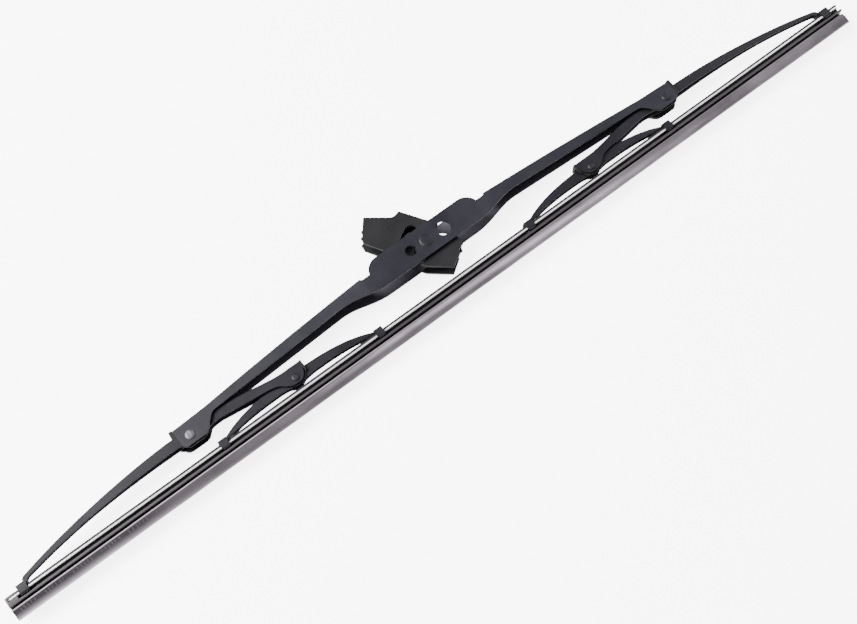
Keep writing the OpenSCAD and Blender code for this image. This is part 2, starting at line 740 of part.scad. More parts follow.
main_bridge();
arm_pin();
arm_adapter();
mirror([1, 0, 0]) lever();  // lever_left
lever();  // lever_right
lever_rivet(-1);  // lever_rivet_left
lever_rivet(1);  // lever_rivet_right
mirror([1, 0, 0]) lever_liner();  // lever_liner_left
lever_liner();  // lever_liner_right
mirror([1, 0, 0]) yoke();  // yoke_left
yoke();  // yoke_right
yoke_rivet(-1);  // yoke_rivet_left
yoke_rivet(1);  // yoke_rivet_right
mirror([1, 0, 0]) yoke_liner();  // yoke_liner_left
yoke_liner();  // yoke_liner_right
rubber_strip();
vertebra(1);  // vertebra_near
vertebra(-1);  // vertebra_far
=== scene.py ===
# %% [markdown]
# # A wiper blade, finished from its construction
#
# The construction gives every steel sheet, pin and moulding at its real size. This lesson
# gives each of them the surface that the real one has: satin paint on folded steel, matte
# plastic, bright rails and a grey rubber strip. Everything is in metres, in the frame of the
# construction, so a new surface goes where the numbers say.

import json
import math

import bmesh
import bpy
import numpy as np
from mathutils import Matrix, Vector


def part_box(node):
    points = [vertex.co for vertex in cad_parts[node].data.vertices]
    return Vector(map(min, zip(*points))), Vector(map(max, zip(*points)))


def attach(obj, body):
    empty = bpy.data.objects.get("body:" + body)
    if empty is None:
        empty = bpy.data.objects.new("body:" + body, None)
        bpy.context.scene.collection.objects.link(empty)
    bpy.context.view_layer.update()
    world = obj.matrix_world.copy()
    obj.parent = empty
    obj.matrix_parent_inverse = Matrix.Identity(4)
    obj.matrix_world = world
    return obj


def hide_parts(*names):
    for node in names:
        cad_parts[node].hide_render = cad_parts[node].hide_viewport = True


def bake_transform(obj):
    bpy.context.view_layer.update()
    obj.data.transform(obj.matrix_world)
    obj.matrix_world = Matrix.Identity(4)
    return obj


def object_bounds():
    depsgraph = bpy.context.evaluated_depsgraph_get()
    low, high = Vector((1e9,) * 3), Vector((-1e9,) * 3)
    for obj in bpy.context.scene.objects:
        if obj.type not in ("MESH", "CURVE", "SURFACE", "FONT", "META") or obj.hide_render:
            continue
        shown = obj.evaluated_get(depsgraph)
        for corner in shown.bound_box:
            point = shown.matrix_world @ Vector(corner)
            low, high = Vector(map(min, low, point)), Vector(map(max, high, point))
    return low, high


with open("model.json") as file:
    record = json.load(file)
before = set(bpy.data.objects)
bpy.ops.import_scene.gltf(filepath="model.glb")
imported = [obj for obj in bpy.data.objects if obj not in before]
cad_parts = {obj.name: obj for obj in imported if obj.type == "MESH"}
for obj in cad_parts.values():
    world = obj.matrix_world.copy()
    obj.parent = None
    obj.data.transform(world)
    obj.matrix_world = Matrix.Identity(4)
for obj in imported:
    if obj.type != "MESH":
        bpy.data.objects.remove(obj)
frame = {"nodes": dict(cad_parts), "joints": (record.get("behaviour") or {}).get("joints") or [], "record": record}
cad_low, cad_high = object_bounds()
MM = 0.001
print("construction box in mm:", [round(v / MM, 1) for v in (cad_high - cad_low)])


# %% [markdown]
# ## Places read from the frame
#
# The strip, its rails and its claws set where everything soft goes. Reading them from the
# boxes of the construction keeps the looks in step with it, whatever its sizes are.

# %% Read the strip, the rails and the pivots
strip_low, strip_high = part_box("rubber_strip")
rail_low, rail_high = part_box("vertebra_near")

STRIP_END = strip_high.x
STRIP_TOP = strip_high.y
STRIP_TIP = strip_low.y
RAIL_TOP = rail_high.y
RAIL_BOTTOM = rail_low.y
RAIL_MIDDLE = (RAIL_TOP + RAIL_BOTTOM) / 2
RAIL_INNER = rail_low.z
RAIL_OUTER = rail_high.z
RAIL_END = rail_high.x


# %% [markdown]
# When a lever turns by a small angle a, its yoke's pivot rises by a times the distance
# between the two pivots, and the yoke itself turns by a share of a. The middle of the strip
# rises by a fixed amount for each a. The seam is where the yoke's straight line meets it.

# %% Find the seam between the strip's stretches
joints = {joint["name"]: joint for joint in frame["joints"]}
ratios = {link["joint"]: abs(link["ratio"])
          for link in frame["record"]["behaviour"]["couplings"]}
LEVER_PIVOT = joints["lever_right_turn"]["pos_m"][0]
YOKE_PIVOT = joints["yoke_right_turn"]["pos_m"][0]
still_to_rise = ratios["strip_rise"] - (LEVER_PIVOT - YOKE_PIVOT)
SEAM = YOKE_PIVOT - still_to_rise / (1 - ratios["yoke_right_turn"])
print("seam at", round(SEAM / MM, 1))


# %% [markdown]
# ## The camera
#
# The photograph looks steeply down on the blade, which lies on its side. The azimuth,
# elevation, distance and lens were fitted so that the ends, pivots and bores of the model
# fall on those of the photograph.

# %% Place the camera
def place_camera(azimuth, elevation, distance, target, lens):
    """Camera at target + distance * back, where back points from the target to the lens:
    (sin az cos el, -cos az cos el, sin el)."""
    az, el = math.radians(azimuth), math.radians(elevation)
    back = Vector((math.sin(az) * math.cos(el), -math.cos(az) * math.cos(el), math.sin(el)))
    data = bpy.data.cameras.new("photo_camera")
    data.lens = lens
    data.sensor_width = 36.0
    data.clip_start, data.clip_end = 0.01, 20.0
    camera = bpy.data.objects.new("photo_camera", data)
    bpy.context.scene.collection.objects.link(camera)
    camera.location = Vector(target) + distance * back
    camera.rotation_euler = (-back).to_track_quat("-Z", "Y").to_euler()
    bpy.context.scene.camera = camera
    return camera


camera = place_camera(azimuth=-37.81, elevation=68.0, distance=0.586,
                      target=(-0.0170, -0.0236, 0.0), lens=61.2)
print("camera at", [round(v, 3) for v in camera.location])


# %% [markdown]
# ## Surfaces from grids of points
#
# A pressed or drawn piece is a section carried along a line, and a rivet is a profile turned
# about an axis. Both are grids of points, so one function can lace any grid into quads.

# %% Lace grids into meshes
SMOOTH_BELOW = math.radians(30.0)    # edges that turn by less are shaded smooth


def lace(rows, columns):
    """Quads of a grid whose columns close on themselves: point (i, j) joins (i+1, j),
    (i+1, j+1) and (i, j+1), with j+1 taken round the loop."""
    i, j = np.meshgrid(np.arange(rows - 1), np.arange(columns), indexing="ij")
    k = (j + 1) % columns
    quads = [i * columns + j, (i + 1) * columns + j, (i + 1) * columns + k, i * columns + k]
    return np.stack(quads, -1).reshape(-1, 4).tolist()


def new_piece(name, points, faces):
    """Mesh object at the origin from points and faces, which keeps the place of each point
    at rest in the attribute rest_place."""
    mesh = bpy.data.meshes.new(name)
    mesh.from_pydata(np.asarray(points).reshape(-1, 3).tolist(), [], faces)
    bm = bmesh.new()
    bm.from_mesh(mesh)
    bmesh.ops.recalc_face_normals(bm, faces=bm.faces)
    bm.to_mesh(mesh)
    bm.free()
    mesh.shade_smooth()
    mesh.set_sharp_from_angle(angle=SMOOTH_BELOW)
    place =np.empty(len(mesh.vertices) * 3, np.float32)
    mesh.vertices.foreach_get("co", place)
    mesh.attributes.new("rest_place", "FLOAT_VECTOR", "POINT").data.foreach_set("vector", place)
    piece = bpy.data.objects.new(name, mesh)
    bpy.context.scene.collection.objects.link(piece)
    return piece


def carried(section, stations):
    """Closed tube: section is (n, 2) points (z, y), stations the x of each ring. Point
    (i, j) lies at (stations[i], section[j].y, section[j].z). Both ends are capped."""
    rings, n = len(stations), len(section)
    grid = np.empty((rings, n, 3))
    grid[:, :, 0] = np.asarray(stations)[:, None]
    grid[:, :, 1] = section[None, :, 1]
    grid[:, :, 2] = section[None, :, 0]
    faces = lace(rings, n)
    faces += [list(range(n)), list(range((rings - 1) * n, rings * n))]
    return grid, faces


def turned(name, profile, centre, sides=64):
    """Profile of (radius, z) points turned about a line along Z through centre:
    (x, y, z) = (cx + r cos t, cy + r sin t, z). The first and last points are poles."""
    profile = np.asarray(profile, float)
    t = np.linspace(0, 2 * math.pi, sides, endpoint=False)
    r, z = profile[1:-1, 0][:, None], profile[1:-1, 1][:, None]
    grid = np.stack([centre[0] + r * np.cos(t), centre[1] + r * np.sin(t),
                     np.broadcast_to(z, (len(z), sides))], -1)
    rings = len(grid)
    points = np.vstack([grid.reshape(-1, 3), [centre[0], centre[1], profile[0, 1]],
                        [centre[0], centre[1], profile[-1, 1]]])
    low, high = rings * sides, rings * sides + 1
    faces = lace(rings, sides)
    faces += [[low, (j + 1) % sides, j] for j in range(sides)]
    last = (rings - 1) * sides
    faces += [[high, last + j, last + (j + 1) % sides] for j in range(sides)]
    return new_piece(name, points, faces)


# %% [markdown]
# A drawn section has no true corners. Each corner P of an outline gives way to a short curve
# from A to B, two points on its sides, that bends towards P.

# %% Round the corners of a section
def rounded(points, radii, pieces=4):
    """Closed outline with each corner replaced by (1-t)^2 A + 2t(1-t) P + t^2 B, where A and
    B lie at the corner's radius along its two sides, or at the middle of a short side."""
    p = np.asarray(points, float)
    radii = np.asarray(radii, float)
    back, ahead = np.roll(p, 1, 0) - p, np.roll(p, -1, 0) - p
    reach_back = np.minimum(radii, np.linalg.norm(back, axis=1) * 0.48)
    reach_ahead = np.minimum(radii, np.linalg.norm(ahead, axis=1) * 0.48)
    a = p + back / np.linalg.norm(back, axis=1)[:, None] * reach_back[:, None]
    b = p + ahead / np.linalg.norm(ahead, axis=1)[:, None] * reach_ahead[:, None]
    t = np.linspace(0, 1, pieces + 1)[None, :, None]
    curve = (1 - t) ** 2 * a[:, None] + 2 * t * (1 - t) * p[:, None] + t ** 2 * b[:, None]
    return curve.reshape(-1, 2)


def both_sides(half):
    """A half section from top to bottom, mirrored about z = 0 into a closed outline."""
    half = np.asarray(half, float)
    return np.vstack([half, half[::-1] * [-1, 1]])


def drawn_in(section, amount):
    """Each point of a clockwise outline moved inwards by amount, along the chord (a, b)
    between its neighbours turned to (b, -a) and made one long."""
    chord = np.roll(section, -1, 0) - np.roll(section, 1, 0)
    chord /= np.linalg.norm(chord, axis=1)[:, None]
    return section + amount * np.column_stack([chord[:, 1], -chord[:, 0]])


TONGUE = 0.6 * MM            # reach of the middle stretch into its neighbours
TONGUE_SLIMMER = 0.03 * MM   # how far a tongue lies inside the section
END_SLIMMER = 0.012 * MM     # and how far the last full ring does


def spanned(section, start, end, step, tongue=0.0):
    """The section carried from start to end. A tongue adds two slimmer rings past each end
    that reach into the next stretch and close the seam when it opens. The last full rings
    are a little slimmer too, so that flat sides never share one plane when the next stretch
    slides over them."""
    stations = np.linspace(start, end, int(abs(end - start) / step) + 2)
    if not tongue:
        return carried(section, stations)
    stations = np.concatenate([[start - tongue, start], stations, [end, end + tongue]])
    grid, faces = carried(section, stations)
    grid[[0, 1, -2, -1], :, 1:] = drawn_in(section, TONGUE_SLIMMER)[:, ::-1]
    grid[[2, -3], :, 1:] = drawn_in(section, END_SLIMMER)[:, ::-1]
    return grid, faces


# %% [markdown]
# ## Node helpers
#
# Each finish is a small tree of nodes that starts at Object coordinates. A finished piece
# sits at the origin, so a pattern in those coordinates stays put on it. The strip and its
# rails bend when the levers turn, so their finishes start at the place that each point had
# at rest, and a pattern runs on without a break from one stretch to the next.

# %% Make a material
class Finish:
    """A material with a principled shader, and short calls that add nodes to it. Patterns
    follow Object coordinates, or rest_place on a piece that bends."""

    def __init__(self, name, bends=False, **constants):
        self.material = bpy.data.materials.new(name)
        self.material.use_nodes = True
        self.nodes = self.material.node_tree.nodes
        self.links = self.material.node_tree.links
        self.shader = self.nodes["Principled BSDF"]
        for socket, value in constants.items():
            self.shader.inputs[socket.replace("_", " ")].default_value = value
        if bends:
            node = self.nodes.new("ShaderNodeAttribute")
            node.attribute_name = "rest_place"
            self.coordinates = node.outputs["Vector"]
        else:
            self.coordinates = self.nodes.new("ShaderNodeTexCoord").outputs["Object"]

    def stretched(self, scale):
        """Object coordinates multiplied by scale, so that grain can run along an axis."""
        mapping = self.nodes.new("ShaderNodeMapping")
        mapping.inputs["Scale"].default_value = scale
        self.links.new(self.coordinates, mapping.inputs["Vector"])
        return mapping.outputs["Vector"]

    def noise(self, scale, detail=4.0, roughness=0.5, vector=None):
        """Clouds from 0 to 1, about scale of them in a metre."""
        node = self.nodes.new("ShaderNodeTexNoise")
        node.inputs["Scale"].default_value = scale
        node.inputs["Detail"].default_value = detail
        node.inputs["Roughness"].default_value = roughness
        self.links.new(vector or self.coordinates, node.inputs["Vector"])
        return node.outputs["Fac"]

    def axis(self, name):
        """One of the X, Y, Z parts of the coordinates."""
        node = self.nodes.new("ShaderNodeSeparateXYZ")
        self.links.new(self.coordinates, node.inputs["Vector"])
        return node.outputs[name]

    def ranged(self, value, low, high, to_low=0.0, to_high=1.0):
        """value from low..high mapped to to_low..to_high and clamped."""
        node = self.nodes.new("ShaderNodeMapRange")
        for socket, number in (("From Min", low), ("From Max", high),
                               ("To Min", to_low), ("To Max", to_high)):
            node.inputs[socket].default_value = number
        self.links.new(value, node.inputs["Value"])
        return node.outputs["Result"]

    def maths(self, operation, a, b=0.0):
        """The operation done on a and b, each a number or another node's output."""
        node = self.nodes.new("ShaderNodeMath")
        node.operation = operation
        for socket, value in zip(node.inputs, (a, b)):
            if isinstance(value, (int, float)):
                socket.default_value = value
            else:
                self.links.new(value, socket)
        return node.outputs["Value"]

    def blended(self, share, a, b):
        """Number a where share is 0 and number b where it is 1."""
        node = self.nodes.new("ShaderNodeMix")
        for index, value in ((0, share), (2, a), (3, b)):
            self.links.new(value, node.inputs[index])
        return node.outputs[0]

    def mixed(self, share, a, b):
        """Colour a where share is 0 and colour b where it is 1."""
        node = self.nodes.new("ShaderNodeMix")
        node.data_type = "RGBA"
        self.links.new(share, node.inputs["Factor"])
        for socket, value in zip((node.inputs[6], node.inputs[7]), (a, b)):
            if isinstance(value, tuple):
                socket.default_value = (*value, 1.0)
            else:
                self.links.new(value, socket)
        return node.outputs[2]

    def bump(self, height, distance, strength):
        """Relief on the shader: height from 0 to 1 stands for 0 to distance in metres."""
        node = self.nodes.new("ShaderNodeBump")
        node.inputs["Distance"].default_value = distance
        node.inputs["Strength"].default_value = strength
        self.links.new(height, node.inputs["Height"])
        self.links.new(node.outputs["Normal"], self.shader.inputs["Normal"])

    def to(self, socket, value):
        """Links value to one of the shader's sockets."""
        self.links.new(value, self.shader.inputs[socket])


# %% [markdown]
# ## Satin black paint
#
# The sheets are dipped and baked. The paint lies in a faint orange-peel skin and holds a
# little dust, so its gloss is never even. It has thinned on the cut faces. The faces that look
# into a channel are painted a much lighter grey, which is painted light bounced into it.

# %% Paint for outer, cut and inner faces
def paint(name, base, dusty, roughness, shine=0.24):
    """Colour runs from base to dusty with broad clouds, and fine specks lie on top. The
    roughness rises by 0.1 in the clouds."""
    finish = Finish(name, Specular_IOR_Level=shine)
    cloud = finish.noise(55.0, 5.0, 0.6)
    speck = finish.noise(2600.0, 2.0)
    shade = finish.mixed(finish.ranged(cloud, 0.35, 0.7), base, dusty)
    lit = finish.mixed(finish.ranged(speck, 0.62, 0.8, 0.0, 0.35), shade, dusty)
    finish.to("Base Color", lit)
    finish.to("Roughness", finish.ranged(cloud, 0.3, 0.7, roughness, roughness + 0.1))
    finish.bump(finish.noise(1400.0, 2.0), 0.02 * MM, 0.6)
    return finish.material


def worn_paint(name, base, bare, roughness):
    """Paint that has thinned on a cut face, with bare steel where the noise is high."""
    finish = Finish(name, Specular_IOR_Level=0.05)
    rub = finish.noise(320.0, 6.0, 0.65)
    finish.to("Base Color", finish.mixed(finish.ranged(rub, 0.52, 0.74, 0.0, 0.8), base, bare))
    finish.to("Roughness", finish.ranged(rub, 0.4, 0.7, roughness, roughness - 0.08))
    finish.bump(rub, 0.02 * MM, 0.4)
    return finish.material


bridge_paint = paint("bridge_paint", (0.0045, 0.0044, 0.0078), (0.0085, 0.0080, 0.0128), 0.38)
lever_paint = paint("lever_paint", (0.0042, 0.0039, 0.0062), (0.0080, 0.0072, 0.0110), 0.40,
                    shine=0.15)
# Painted light: the faces inside a channel get a far lighter grey, standing in for the light bounced into it.
inner_paint = paint("inner_paint", (0.045, 0.043, 0.054), (0.075, 0.071, 0.085), 0.6,
                    shine=0.05)
cut_paint = worn_paint("cut_paint", (0.0042, 0.0040, 0.0056), (0.012, 0.0112, 0.0144), 0.7)
print("paints:", bridge_paint.name, lever_paint.name, inner_paint.name, cut_paint.name)


# %% [markdown]
# ## Matte moulded plastic
#
# The adapter and the liners come out of a spark-eroded mould: a fine even grain, faint flow
# clouds, and no gloss to speak of. Their narrow sides are duller, and they are painted a
# darker black than the broad faces, which is painted shade.

# %% Plastic with a mould's grain
def moulded(name, base, pale, roughness):
    """Colour runs from base to pale in clouds drawn out along the flow, and the roughness
    rises by 0.08 in them."""
    finish = Finish(name, Specular_IOR_Level=0.14)
    flow = finish.noise(70.0, 3.0, vector=finish.stretched((1.0, 2.2, 1.0)))
    finish.to("Base Color", finish.mixed(finish.ranged(flow, 0.3, 0.75), base, pale))
    finish.to("Roughness", finish.ranged(flow, 0.3, 0.7, roughness, roughness + 0.08))
    finish.bump(finish.noise(2200.0, 3.0, 0.7), 0.03 * MM, 0.7)
    return finish.material


adapter_plastic = moulded("adapter_plastic", (0.0040, 0.0040, 0.0050),
                          (0.0075, 0.0075, 0.0088), 0.5)
liner_plastic = moulded("liner_plastic", (0.0045, 0.0045, 0.0054),
                        (0.0085, 0.0082, 0.0096), 0.46)
# Painted shade: the narrow sides of the mouldings are made darker than the broad faces.
plastic_side = moulded("plastic_side", (0.0016, 0.0015, 0.0020),
                       (0.0032, 0.0030, 0.0040), 0.75)
print("plastics:", adapter_plastic.name, liner_plastic.name, plastic_side.name)


# %% [markdown]
# ## Folded steel
#
# Each sheet is blanked flat and then folded to a channel. The fold leaves a generous radius
# along the back, and the die leaves a tiny one on every cut edge. The construction has both
# as sharp corners, so a merged copy of each sheet gets a bevel whose width is set edge by
# edge: an edge is a fold where the band behind it is wider than the sheet is thick.

# %% Copy a node and weigh its edges
CORNER = math.radians(35)    # an edge that turns by more gets a bevel
UPRIGHT, LYING = 0.35, 0.9   # |normal z| below which a face is a band, and above which a side


def merged_copy(node, name):
    """Copy of a construction node, its doubles merged and its flat faces joined."""
    mesh = frame["nodes"][node].data.copy()
    mesh.name = name
    bm = bmesh.new()
    bm.from_mesh(mesh)
    bmesh.ops.remove_doubles(bm, verts=bm.verts, dist=0.0005 * MM)
    bmesh.ops.dissolve_limit(bm, angle_limit=math.radians(0.4), verts=bm.verts,
                             edges=bm.edges, delimit=set())
    return mesh, bm


def is_web(face, sheet):
    """True for a band that runs across a channel: its normal lies in the XY plane, it
    reaches over more than 1.5 sheets in Z, and it fills its own rectangle."""
    if abs(face.normal.z) > UPRIGHT:
        return False
    along = face.normal.cross(Vector((0, 0, 1))).normalized()
    depth = [v.co.z for v in face.verts]
    reach = [v.co.dot(along) for v in face.verts]
    across = max(depth) - min(depth)
    area = across * (max(reach) - min(reach))
    return across > 1.5 * sheet and face.calc_area() > 0.7 * area


def weigh_edges(bm, fold, cut, sheet):
    """Writes each edge's share of the widest bevel. Convex edges past CORNER count. A fold
    lies between a side face, which points along Z, and a web, and it gets no wider than 0.45
    of its own length."""
    weight = bm.edges.layers.float.get("bevel_weight_edge")
    if weight is None:
        weight = bm.edges.layers.float.new("bevel_weight_edge")
    folds = cuts = 0
    for edge in bm.edges:
        if len(edge.link_faces) != 2 or edge.calc_face_angle_signed(0.0) < CORNER:
            continue
        side, band = sorted(edge.link_faces, key=lambda face: -abs(face.normal.z))
        is_fold = sheet > 0 and abs(side.normal.z) > LYING and is_web(band, sheet)
        width = max(cut, min(fold, 0.45 * edge.calc_length())) if is_fold else cut
        edge[weight] = width / max(fold, cut)
        folds += is_fold
        cuts += not is_fold
    return folds, cuts


def face_kind(face, sheet):
    """0 for an outer face or a web, 1 for a side, which is a cut face between the two faces
    of a sheet or a moulding, and 2 for a face that looks into the channel."""
    if abs(face.normal.z) < UPRIGHT:
        return 0 if sheet and is_web(face, sheet) else 1
    return 2 if face.calc_center_median().z * face.normal.z < 0 else 0


def bevelled(node, name, body, materials, cut, fold=0.0, sheet=0.0):
    """A node's copy with bevelled edges, in its body and in place of the node. materials is
    (outer, side, inner), and a bevel takes the material of the faces beside it. cut and fold
    are the two bevels' widths, and sheet is the steel's thickness, or 0 for a moulding."""
    mesh, bm = merged_copy(node, name)
    folds, cuts = weigh_edges(bm, fold, cut, sheet)
    kinds = np.array([face_kind(face, sheet) for face in bm.faces], np.int32)
    bm.to_mesh(mesh)
    bm.free()
    mesh.shade_smooth()
    mesh.set_sharp_from_angle(angle=SMOOTH_BELOW)
    mesh.materials.clear()
    for material in materials:
        mesh.materials.append(material)
    mesh.polygons.foreach_set("material_index", kinds)
    piece = bpy.data.objects.new(name, mesh)
    bpy.context.scene.collection.objects.link(piece)
    bevel = piece.modifiers.new("edges", "BEVEL")
    bevel.limit_method = "WEIGHT"
    bevel.width = max(fold, cut)
    bevel.segments = 3
    bevel.use_clamp_overlap = False
    bevel.harden_normals = True
    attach(piece, body)
    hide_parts(node)
    print(f"{name}: {folds} fold edges, {cuts} cut edges")


# %% [markdown]
# The bridge has the thickest sheet, and the levers and yokes that nest in it get thinner one
# after the other, as their fold radii do.

# %% Finish the sheets
SHEETS = [    # node, body, slot, paint, width of a fold's bevel and thickness in mm
    ("main_bridge", "bridge", "bridge_paint", bridge_paint, 1.0, 1.0),
    ("lever_left", "lever_left", "lever_paint", lever_paint, 0.6, 0.9),
    ("lever_right", "lever_right", "lever_paint", lever_paint, 0.6, 0.9),
    ("yoke_left", "yoke_left", "lever_paint", lever_paint, 0.45, 0.8),
    ("yoke_right", "yoke_right", "lever_paint", lever_paint, 0.45, 0.8),
]
for node, body, slot, face, fold, sheet in SHEETS:
    bevelled(node, node + "_sheet", body, (face, cut_paint, inner_paint),
             cut=0.05 * MM, fold=fold * MM, sheet=sheet * MM)


# %% [markdown]
# The mouldings get one small radius all over, which is what a mould's polished edge leaves.

# %% Finish the mouldings
liner_finish = (liner_plastic, plastic_side, liner_plastic)
bevelled("arm_adapter", "arm_adapter_moulding", "adapter",
         (adapter_plastic, plastic_side, adapter_plastic), cut=0.08 * MM)
for side in ("left", "right"):
    bevelled(f"lever_liner_{side}", f"lever_liner_{side}_moulding", "bridge",
             liner_finish, cut=0.07 * MM)
    bevelled(f"yoke_liner_{side}", f"yoke_liner_{side}_moulding", f"lever_{side}",
             liner_finish, cut=0.07 * MM)


# %% [markdown]
# ## Rivets and the arm pin
#
# A clenched head isn't a plain disc. The tool leaves a low dome, a shallow ring where it
# pressed, and a small dimple at the centre. The head of the left lever rivet has lost its
# paint and shows grey steel.

# %% Turn the heads
def bare_steel(name):
    """Grey steel rubbed in one direction, whose smears run along Y."""
    finish = Finish(name, Metallic=0.75)
    smear = finish.noise(900.0, 5.0, 0.6, finish.stretched((2.4, 0.5, 1.0)))
    finish.to("Base Color", finish.mixed(finish.ranged(smear, 0.35, 0.7),
                                         (0.050, 0.048, 0.056), (0.13, 0.125, 0.14)))
    finish.to("Roughness", finish.ranged(smear, 0.35, 0.7, 0.42, 0.6))
    finish.bump(smear, 0.03 * MM, 0.6)
    return finish.material


pin_paint = paint("pin_paint", (0.0030, 0.0028, 0.0050), (0.0065, 0.0060, 0.0092), 0.40)
bare_rivet = bare_steel("bare_rivet")


def clenched(node, head_height, body, material):
    """Head radius R and half length L come from the node's box. On each side the profile
    follows L - 0.6 h (r / R)^6, with a pressed ring of depth h / 12 at 0.7 R."""
    low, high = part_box(node)
    centre = ((low.x + high.x) / 2, (low.y + high.y) / 2)
    radius, half = (high.x - low.x) / 2, (high.z - low.z) / 2
    share = np.concatenate([np.linspace(0, 0.9, 22), np.linspace(0.92, 1.0, 6)])
    ring = np.exp(-((share - 0.7) / 0.05) ** 2) * head_height / 12
    rise = half - head_height * 0.6 * share ** 6 - ring
    rim = [[radius, half - head_height], [radius * 0.8, half - head_height]]
    top = np.vstack([np.column_stack([share * radius, rise]), rim])
    profile = np.vstack([top * [1, -1], top[::-1]])
    piece = turned(node + "_head", profile, centre)
    piece.data.materials.append(material)
    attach(piece, body)
    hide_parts(node)
    print(f"{node}: head {2 * radius / MM:.1f} mm across")


clenched("arm_pin", 0.35 * MM, "bridge", pin_paint)
for side, slot, material in (("left", "bare_rivet", bare_rivet),
                             ("right", "pin_paint", pin_paint)):
    clenched(f"lever_rivet_{side}", 0.55 * MM, "bridge", material)
    clenched(f"yoke_rivet_{side}", 0.55 * MM, f"lever_{side}", pin_paint)


# %% [markdown]
# ## The rubber strip
#
# The strip is one extrusion: a ribbed cap, slots for the rails, a neck that the claws reach
# round, a flange, a thin hinge, and the wedge that wipes. On a curved glass it bends between
# its claws. So it is made as three stretches: one for each side and one that spans the middle.
# Thin tongues on the middle stretch reach into its neighbours and close the seams when the
# strip bends.

# %% Section of the strip
FLANGE_TOP = RAIL_BOTTOM - 1.35 * MM
FLANGE_BOTTOM = FLANGE_TOP - 0.95 * MM
HINGE_BOTTOM = FLANGE_BOTTOM - 0.8 * MM
WEDGE_TOP = np.array([2.15 * MM, HINGE_BOTTOM - 0.9 * MM])    # z and y where its slope starts
WEDGE_LOW = np.array([1.35 * MM, STRIP_TIP + 1.85 * MM])      # and where it ends
cap_half = np.array([    # z, height above the strip's top and corner radius in mm
    [0.6, 0.0, 0.2], [1.5, -0.1, 0.1], [2.2, 0.0, 0.2], [2.9, -0.2, 0.2],
    [2.9, -0.55, 0.05], [2.72, -0.66, 0.05], [2.9, -0.78, 0.05], [2.9, -1.2, 0.1],
])
half_section = [(z * MM, STRIP_TOP + y * MM) for z, y, _ in cap_half]
half_radii = [r * MM for _, _, r in cap_half]
half_section += [
    (RAIL_INNER, RAIL_TOP), (RAIL_INNER, RAIL_BOTTOM), (2.1 * MM, RAIL_BOTTOM),
    (1.9 * MM, RAIL_BOTTOM - 0.35 * MM), (1.5 * MM, RAIL_BOTTOM - 0.5 * MM),
    (1.5 * MM, FLANGE_TOP), (3.3 * MM, FLANGE_TOP), (3.3 * MM, FLANGE_BOTTOM),
    (0.5 * MM, FLANGE_BOTTOM), (0.5 * MM, HINGE_BOTTOM),
    (2.2 * MM, HINGE_BOTTOM), (2.5 * MM, HINGE_BOTTOM - 0.4 * MM),
    tuple(WEDGE_TOP), tuple(WEDGE_LOW),
    (0.4 * MM, STRIP_TIP + 0.6 * MM), (0.4 * MM, STRIP_TIP),
]
half_radii += [r * MM for r in (0.05, 0.05, 0.1, 0.1, 0.1, 0.2, 0.22, 0.22, 0.3, 0.3,
                                0.12, 0.15, 0.3, 0.5, 0.3, 0.06)]
section = rounded(both_sides(half_section), half_radii + half_radii[::-1], 3)
print("strip section:", len(section), "points")


# %% [markdown]
# A lip that has lain in a box isn't straight. It leans a little to one side and back again,
# in slow waves, and that is what makes the light change along it.

# %% Carry the section along the blade
def wave(x):
    """Lean of the lip in metres: a few sines whose lengths don't divide one another."""
    return (0.11 * np.sin(x / 0.0190 + 0.6) + 0.07 * np.sin(x / 0.0083 + 2.1)
            + 0.05 * np.sin(x / 0.0041)) * MM


def leaned(points):
    """Shifts each point across the blade by wave(x), times the square of its depth below
    the hinge as a share of the wedge's height."""
    depth = np.clip((HINGE_BOTTOM - points[..., 1]) / (HINGE_BOTTOM - STRIP_TIP), 0, 1)
    points[..., 2] += wave(points[..., 0]) * depth ** 2
    return points


RAGGED = np.array([    # height in metres, and how many mm the cut lies back from the end there
    (STRIP_TOP, 1.5), (STRIP_TOP - 0.6 * MM, 0.7), (RAIL_TOP, 0.8), (RAIL_BOTTOM, 1.5),
    (FLANGE_TOP + 0.2 * MM, 1.0), (FLANGE_TOP - 0.5 * MM, 0.0), (FLANGE_BOTTOM, 0.9),
    (HINGE_BOTTOM, 1.6), (HINGE_BOTTOM - MM, 0.9), (STRIP_TIP, 0.0),
])


def stretch_of_strip(name, start, end, tongue=0.0, ragged=False):
    """The section from start to end, leaned. A ragged last ring is drawn back by an inset
    that depends on height, as a hand cut through soft rubber leaves it."""
    grid, faces = spanned(section, start, end, 2.0 * MM, tongue)
    grid = leaned(grid)
    if ragged:
        heights, insets = RAGGED[::-1].T
        grid[-1, :, 0] = end - np.interp(grid[-1, :, 1], heights, insets * MM)
    return new_piece(name, grid, faces)


rubber_left = stretch_of_strip("rubber_left", -STRIP_END, -SEAM)
rubber_middle = stretch_of_strip("rubber_middle", -SEAM, SEAM, tongue=TONGUE)
rubber_right = stretch_of_strip("rubber_right", SEAM, STRIP_END, ragged=True)
print("points in the stretches:", [len(piece.data.vertices) for piece in
                                   (rubber_left, rubber_middle, rubber_right)])


# %% [markdown]
# ## Graphite on rubber
#
# New wiping rubber is dusted with graphite, which is rubbed along the blade, so its streaks
# run that way. The wedge is painted pale on the lip and dark under the shoulder, which is
# painted sheen. In the blade's middle a painted highlight starts under the shoulder and drifts
# down towards the lip.

# %% Thickness of the film and its painted sheen on the wedge
CAP_EDGE = (STRIP_TOP - 0.5 * MM, STRIP_TOP - 0.3 * MM)    # where the cap's side turns to its top


